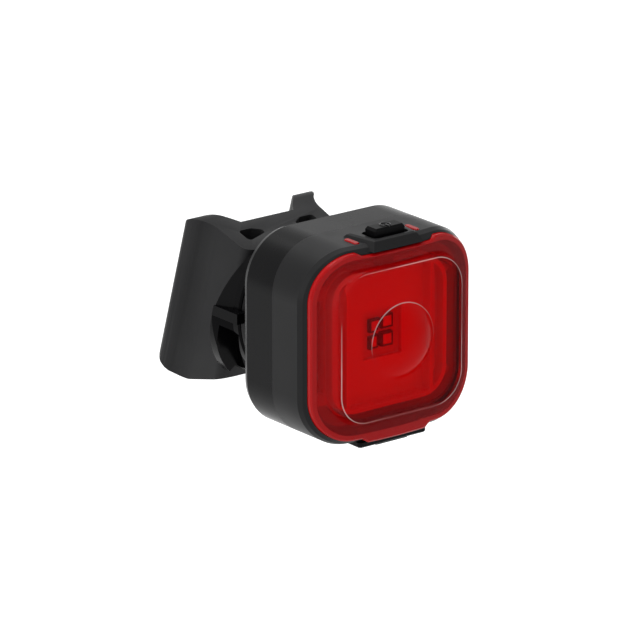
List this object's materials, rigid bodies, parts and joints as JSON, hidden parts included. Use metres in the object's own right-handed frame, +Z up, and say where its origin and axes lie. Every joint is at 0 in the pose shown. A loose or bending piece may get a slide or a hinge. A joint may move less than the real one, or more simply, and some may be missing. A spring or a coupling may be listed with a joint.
{
  "type": "bike rear light",
  "caption": "Compact rear bicycle light with a domed red lens, rubber power button, charging flap and a slanted saddle mount for the seatpost.",
  "frame": {"origin": "middle of the saddle's floor, where the seatpost rests", "axes": "+Z up, the lens shines towards -Y, +X to the right seen from the front"},
  "size_m": [0.0468, 0.0714, 0.0493],
  "materials": {
    "cover_plastic": "matt, fine spark texture",
    "shell_plastic": "satin black",
    "hub_plastic": "gloss black, glass-filled nylon",
    "lens_plastic": "clear red polycarbonate",
    "window_plastic": "clear red polycarbonate",
    "silicone": "soft matt",
    "key_rubber": "soft matt",
    "saddle_rubber": "matt moulded rubber",
    "tray_plastic": "white, satin",
    "diode": "ceramic package with a clear top",
    "board_aluminium": "white coated",
    "spreader_aluminium": "brushed",
    "board_laminate": "green coated laminate",
    "chip_plastic": "moulded package",
    "switch_plastic": "satin",
    "plunger_plastic": "satin",
    "port_steel": "stamped and plated",
    "screw_steel": "black oxide",
    "mount_screw_steel": "turned stainless steel",
    "insert_brass": "knurled",
    "cell_foil": "foil pouch",
    "foam": "closed-cell foam"
  },
  "bodies": {
    "body": {"front_cover": "cover_plastic", "rear_shell": "shell_plastic", "lens": "lens_plastic", "lens_gasket": "silicone", "light_tray": "tray_plastic", "tray_pins": "plunger_plastic", "main_leds": "diode", "status_leds": "diode", "led_board": "board_aluminium", "heat_spreader": "spreader_aluminium", "board_header": "switch_plastic", "main_board": "board_laminate", "board_chips": "chip_plastic", "button_switch": "switch_plastic", "status_window_left": "window_plastic", "status_window_right": "window_plastic", "port_shell": "port_steel", "port_tongue": "chip_plastic", "port_anchor": "silicone", "case_seal": "silicone", "case_screws": "screw_steel", "battery_cell": "cell_foil", "battery_pad": "foam", "mount_insert": "insert_brass", "mount_screw": "mount_screw_steel", "mount_hub": "hub_plastic", "mount_pad": "saddle_rubber"},
    "button": {"power_button": "key_rubber", "switch_plunger": "plunger_plastic"},
    "flap": {"port_flap": "silicone"}
  },
  "joints": [
    {"name": "button_press", "type": "slide", "parent": "body", "child": "button", "axis": [0, 0, -1], "range_m": [0, 0.0004], "stiffness_N_per_m": 1500},
    {"name": "flap_hinge", "type": "hinge", "parent": "body", "child": "flap", "pos_m": [0, -0.03921, -0.0261], "axis": [1, 0, 0], "range_deg": [0, 110]}
  ]
}
